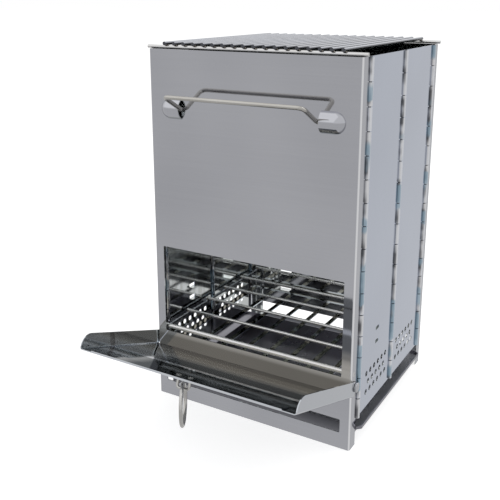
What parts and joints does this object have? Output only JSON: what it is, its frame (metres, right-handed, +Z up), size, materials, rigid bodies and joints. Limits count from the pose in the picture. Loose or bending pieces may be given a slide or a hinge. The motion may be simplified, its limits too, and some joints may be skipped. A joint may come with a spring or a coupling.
{
  "type": "folding wood stove",
  "caption": "Folding box stove of thin stainless sheet with bellows sides on rolled hinges, a hopper feed door, wire handle, wire rack, slotted grate, cooking grill and ash tray.",
  "frame": {"origin": "on the ground under the middle of the box, at the underside of the ash tray", "axes": "+Z up, -Y out of the front with the feed door, +X to the right as seen from the front"},
  "size_m": [0.209, 0.3064, 0.3383],
  "materials": {
    "sheet": "bright annealed stainless sheet, almost a mirror",
    "wire": "bright drawn stainless wire",
    "pin": "plain stainless",
    "tray": "dark, heat-tinted steel"
  },
  "bodies": {
    "front": {"front_panel": "sheet", "door_rivets": "pin", "pin_left_front": "pin", "pin_right_front": "pin"},
    "side_right_front": {"side_right_front": "sheet", "pin_right_middle": "pin"},
    "side_right_rear": {"side_right_rear": "sheet", "pin_right_rear": "pin"},
    "rear": {"rear_panel": "sheet", "pin_left_rear": "pin"},
    "side_left_front": {"side_left_front": "sheet", "pin_left_middle": "pin"},
    "side_left_rear": {"side_left_rear": "sheet"},
    "feed_door": {"feed_door": "sheet", "ring_staple": "pin"},
    "pull_ring": {"pull_ring": "wire"},
    "handle": {"carry_handle": "wire"},
    "grill": {"grill_bars": "wire", "grill_cross_wires": "wire"},
    "rack": {"rack_rod": "wire", "rack_cross_wires": "wire", "rack_carriers": "wire"},
    "grate": {"slotted_grate": "sheet", "grate_rod": "wire"},
    "ash_tray": {"ash_tray": "tray"}
  },
  "joints": [
    {"name": "fold", "type": "hinge", "parent": "front", "child": "side_right_front", "pos_m": [0.0996, -0.08, 0.1782], "axis": [0, 0, -1], "range_deg": [0, 80]},
    {"name": "right_middle_hinge", "type": "hinge", "parent": "side_right_front", "child": "side_right_rear", "pos_m": [0.0996, 0, 0.1782], "axis": [0, 0, 1], "range_deg": [0, 160]},
    {"name": "right_rear_hinge", "type": "hinge", "parent": "side_right_rear", "child": "rear", "pos_m": [0.0996, 0.08, 0.1782], "axis": [0, 0, -1], "range_deg": [0, 80]},
    {"name": "left_front_hinge", "type": "hinge", "parent": "front", "child": "side_left_front", "pos_m": [-0.0996, -0.08, 0.1782], "axis": [0, 0, 1], "range_deg": [0, 80]},
    {"name": "left_middle_hinge", "type": "hinge", "parent": "side_left_front", "child": "side_left_rear", "pos_m": [-0.0996, 0, 0.1782], "axis": [0, 0, -1], "range_deg": [0, 160]},
    {"name": "rack_swing", "type": "hinge", "parent": "front", "child": "rack", "pos_m": [0, -0.0904, 0.0705], "axis": [1, 0, 0], "range_deg": [0, 80]},
    {"name": "grate_swing", "type": "hinge", "parent": "front", "child": "grate", "pos_m": [0, -0.0875, 0.05], "axis": [1, 0, 0], "range_deg": [0, 80]},
    {"name": "tray_drop", "type": "slide", "parent": "front", "child": "ash_tray", "axis": [0, 0, -1], "range_m": [0, 0.14]},
    {"name": "grill_lift", "type": "slide", "parent": "front", "child": "grill", "axis": [0, 0, 1], "range_m": [0, 0.06]},
    {"name": "door_hinge", "type": "hinge", "parent": "front", "child": "feed_door", "pos_m": [0, -0.0885, 0.058], "axis": [-1, 0, 0], "range_deg": [0, 69.5]},
    {"name": "ring_swing", "type": "hinge", "parent": "feed_door", "child": "pull_ring", "pos_m": [0, -0.19544, 0.08037], "axis": [1, 0, 0], "range_deg": [-62, 22]},
    {"name": "handle_swing", "type": "hinge", "parent": "front", "child": "handle", "pos_m": [0, -0.0981, 0.281], "axis": [-1, 0, 0], "range_deg": [-115, 58]}
  ],
  "couplings": [
    {"joint": "right_middle_hinge", "follows": "fold", "ratio": 2},
    {"joint": "right_rear_hinge", "follows": "fold", "ratio": 1},
    {"joint": "left_front_hinge", "follows": "fold", "ratio": 1},
    {"joint": "left_middle_hinge", "follows": "fold", "ratio": 2},
    {"joint": "rack_swing", "follows": "fold", "ratio": 1},
    {"joint": "grate_swing", "follows": "fold", "ratio": 1},
    {"joint": "tray_drop", "follows": "fold", "m_per_rad": 0.1}
  ]
}
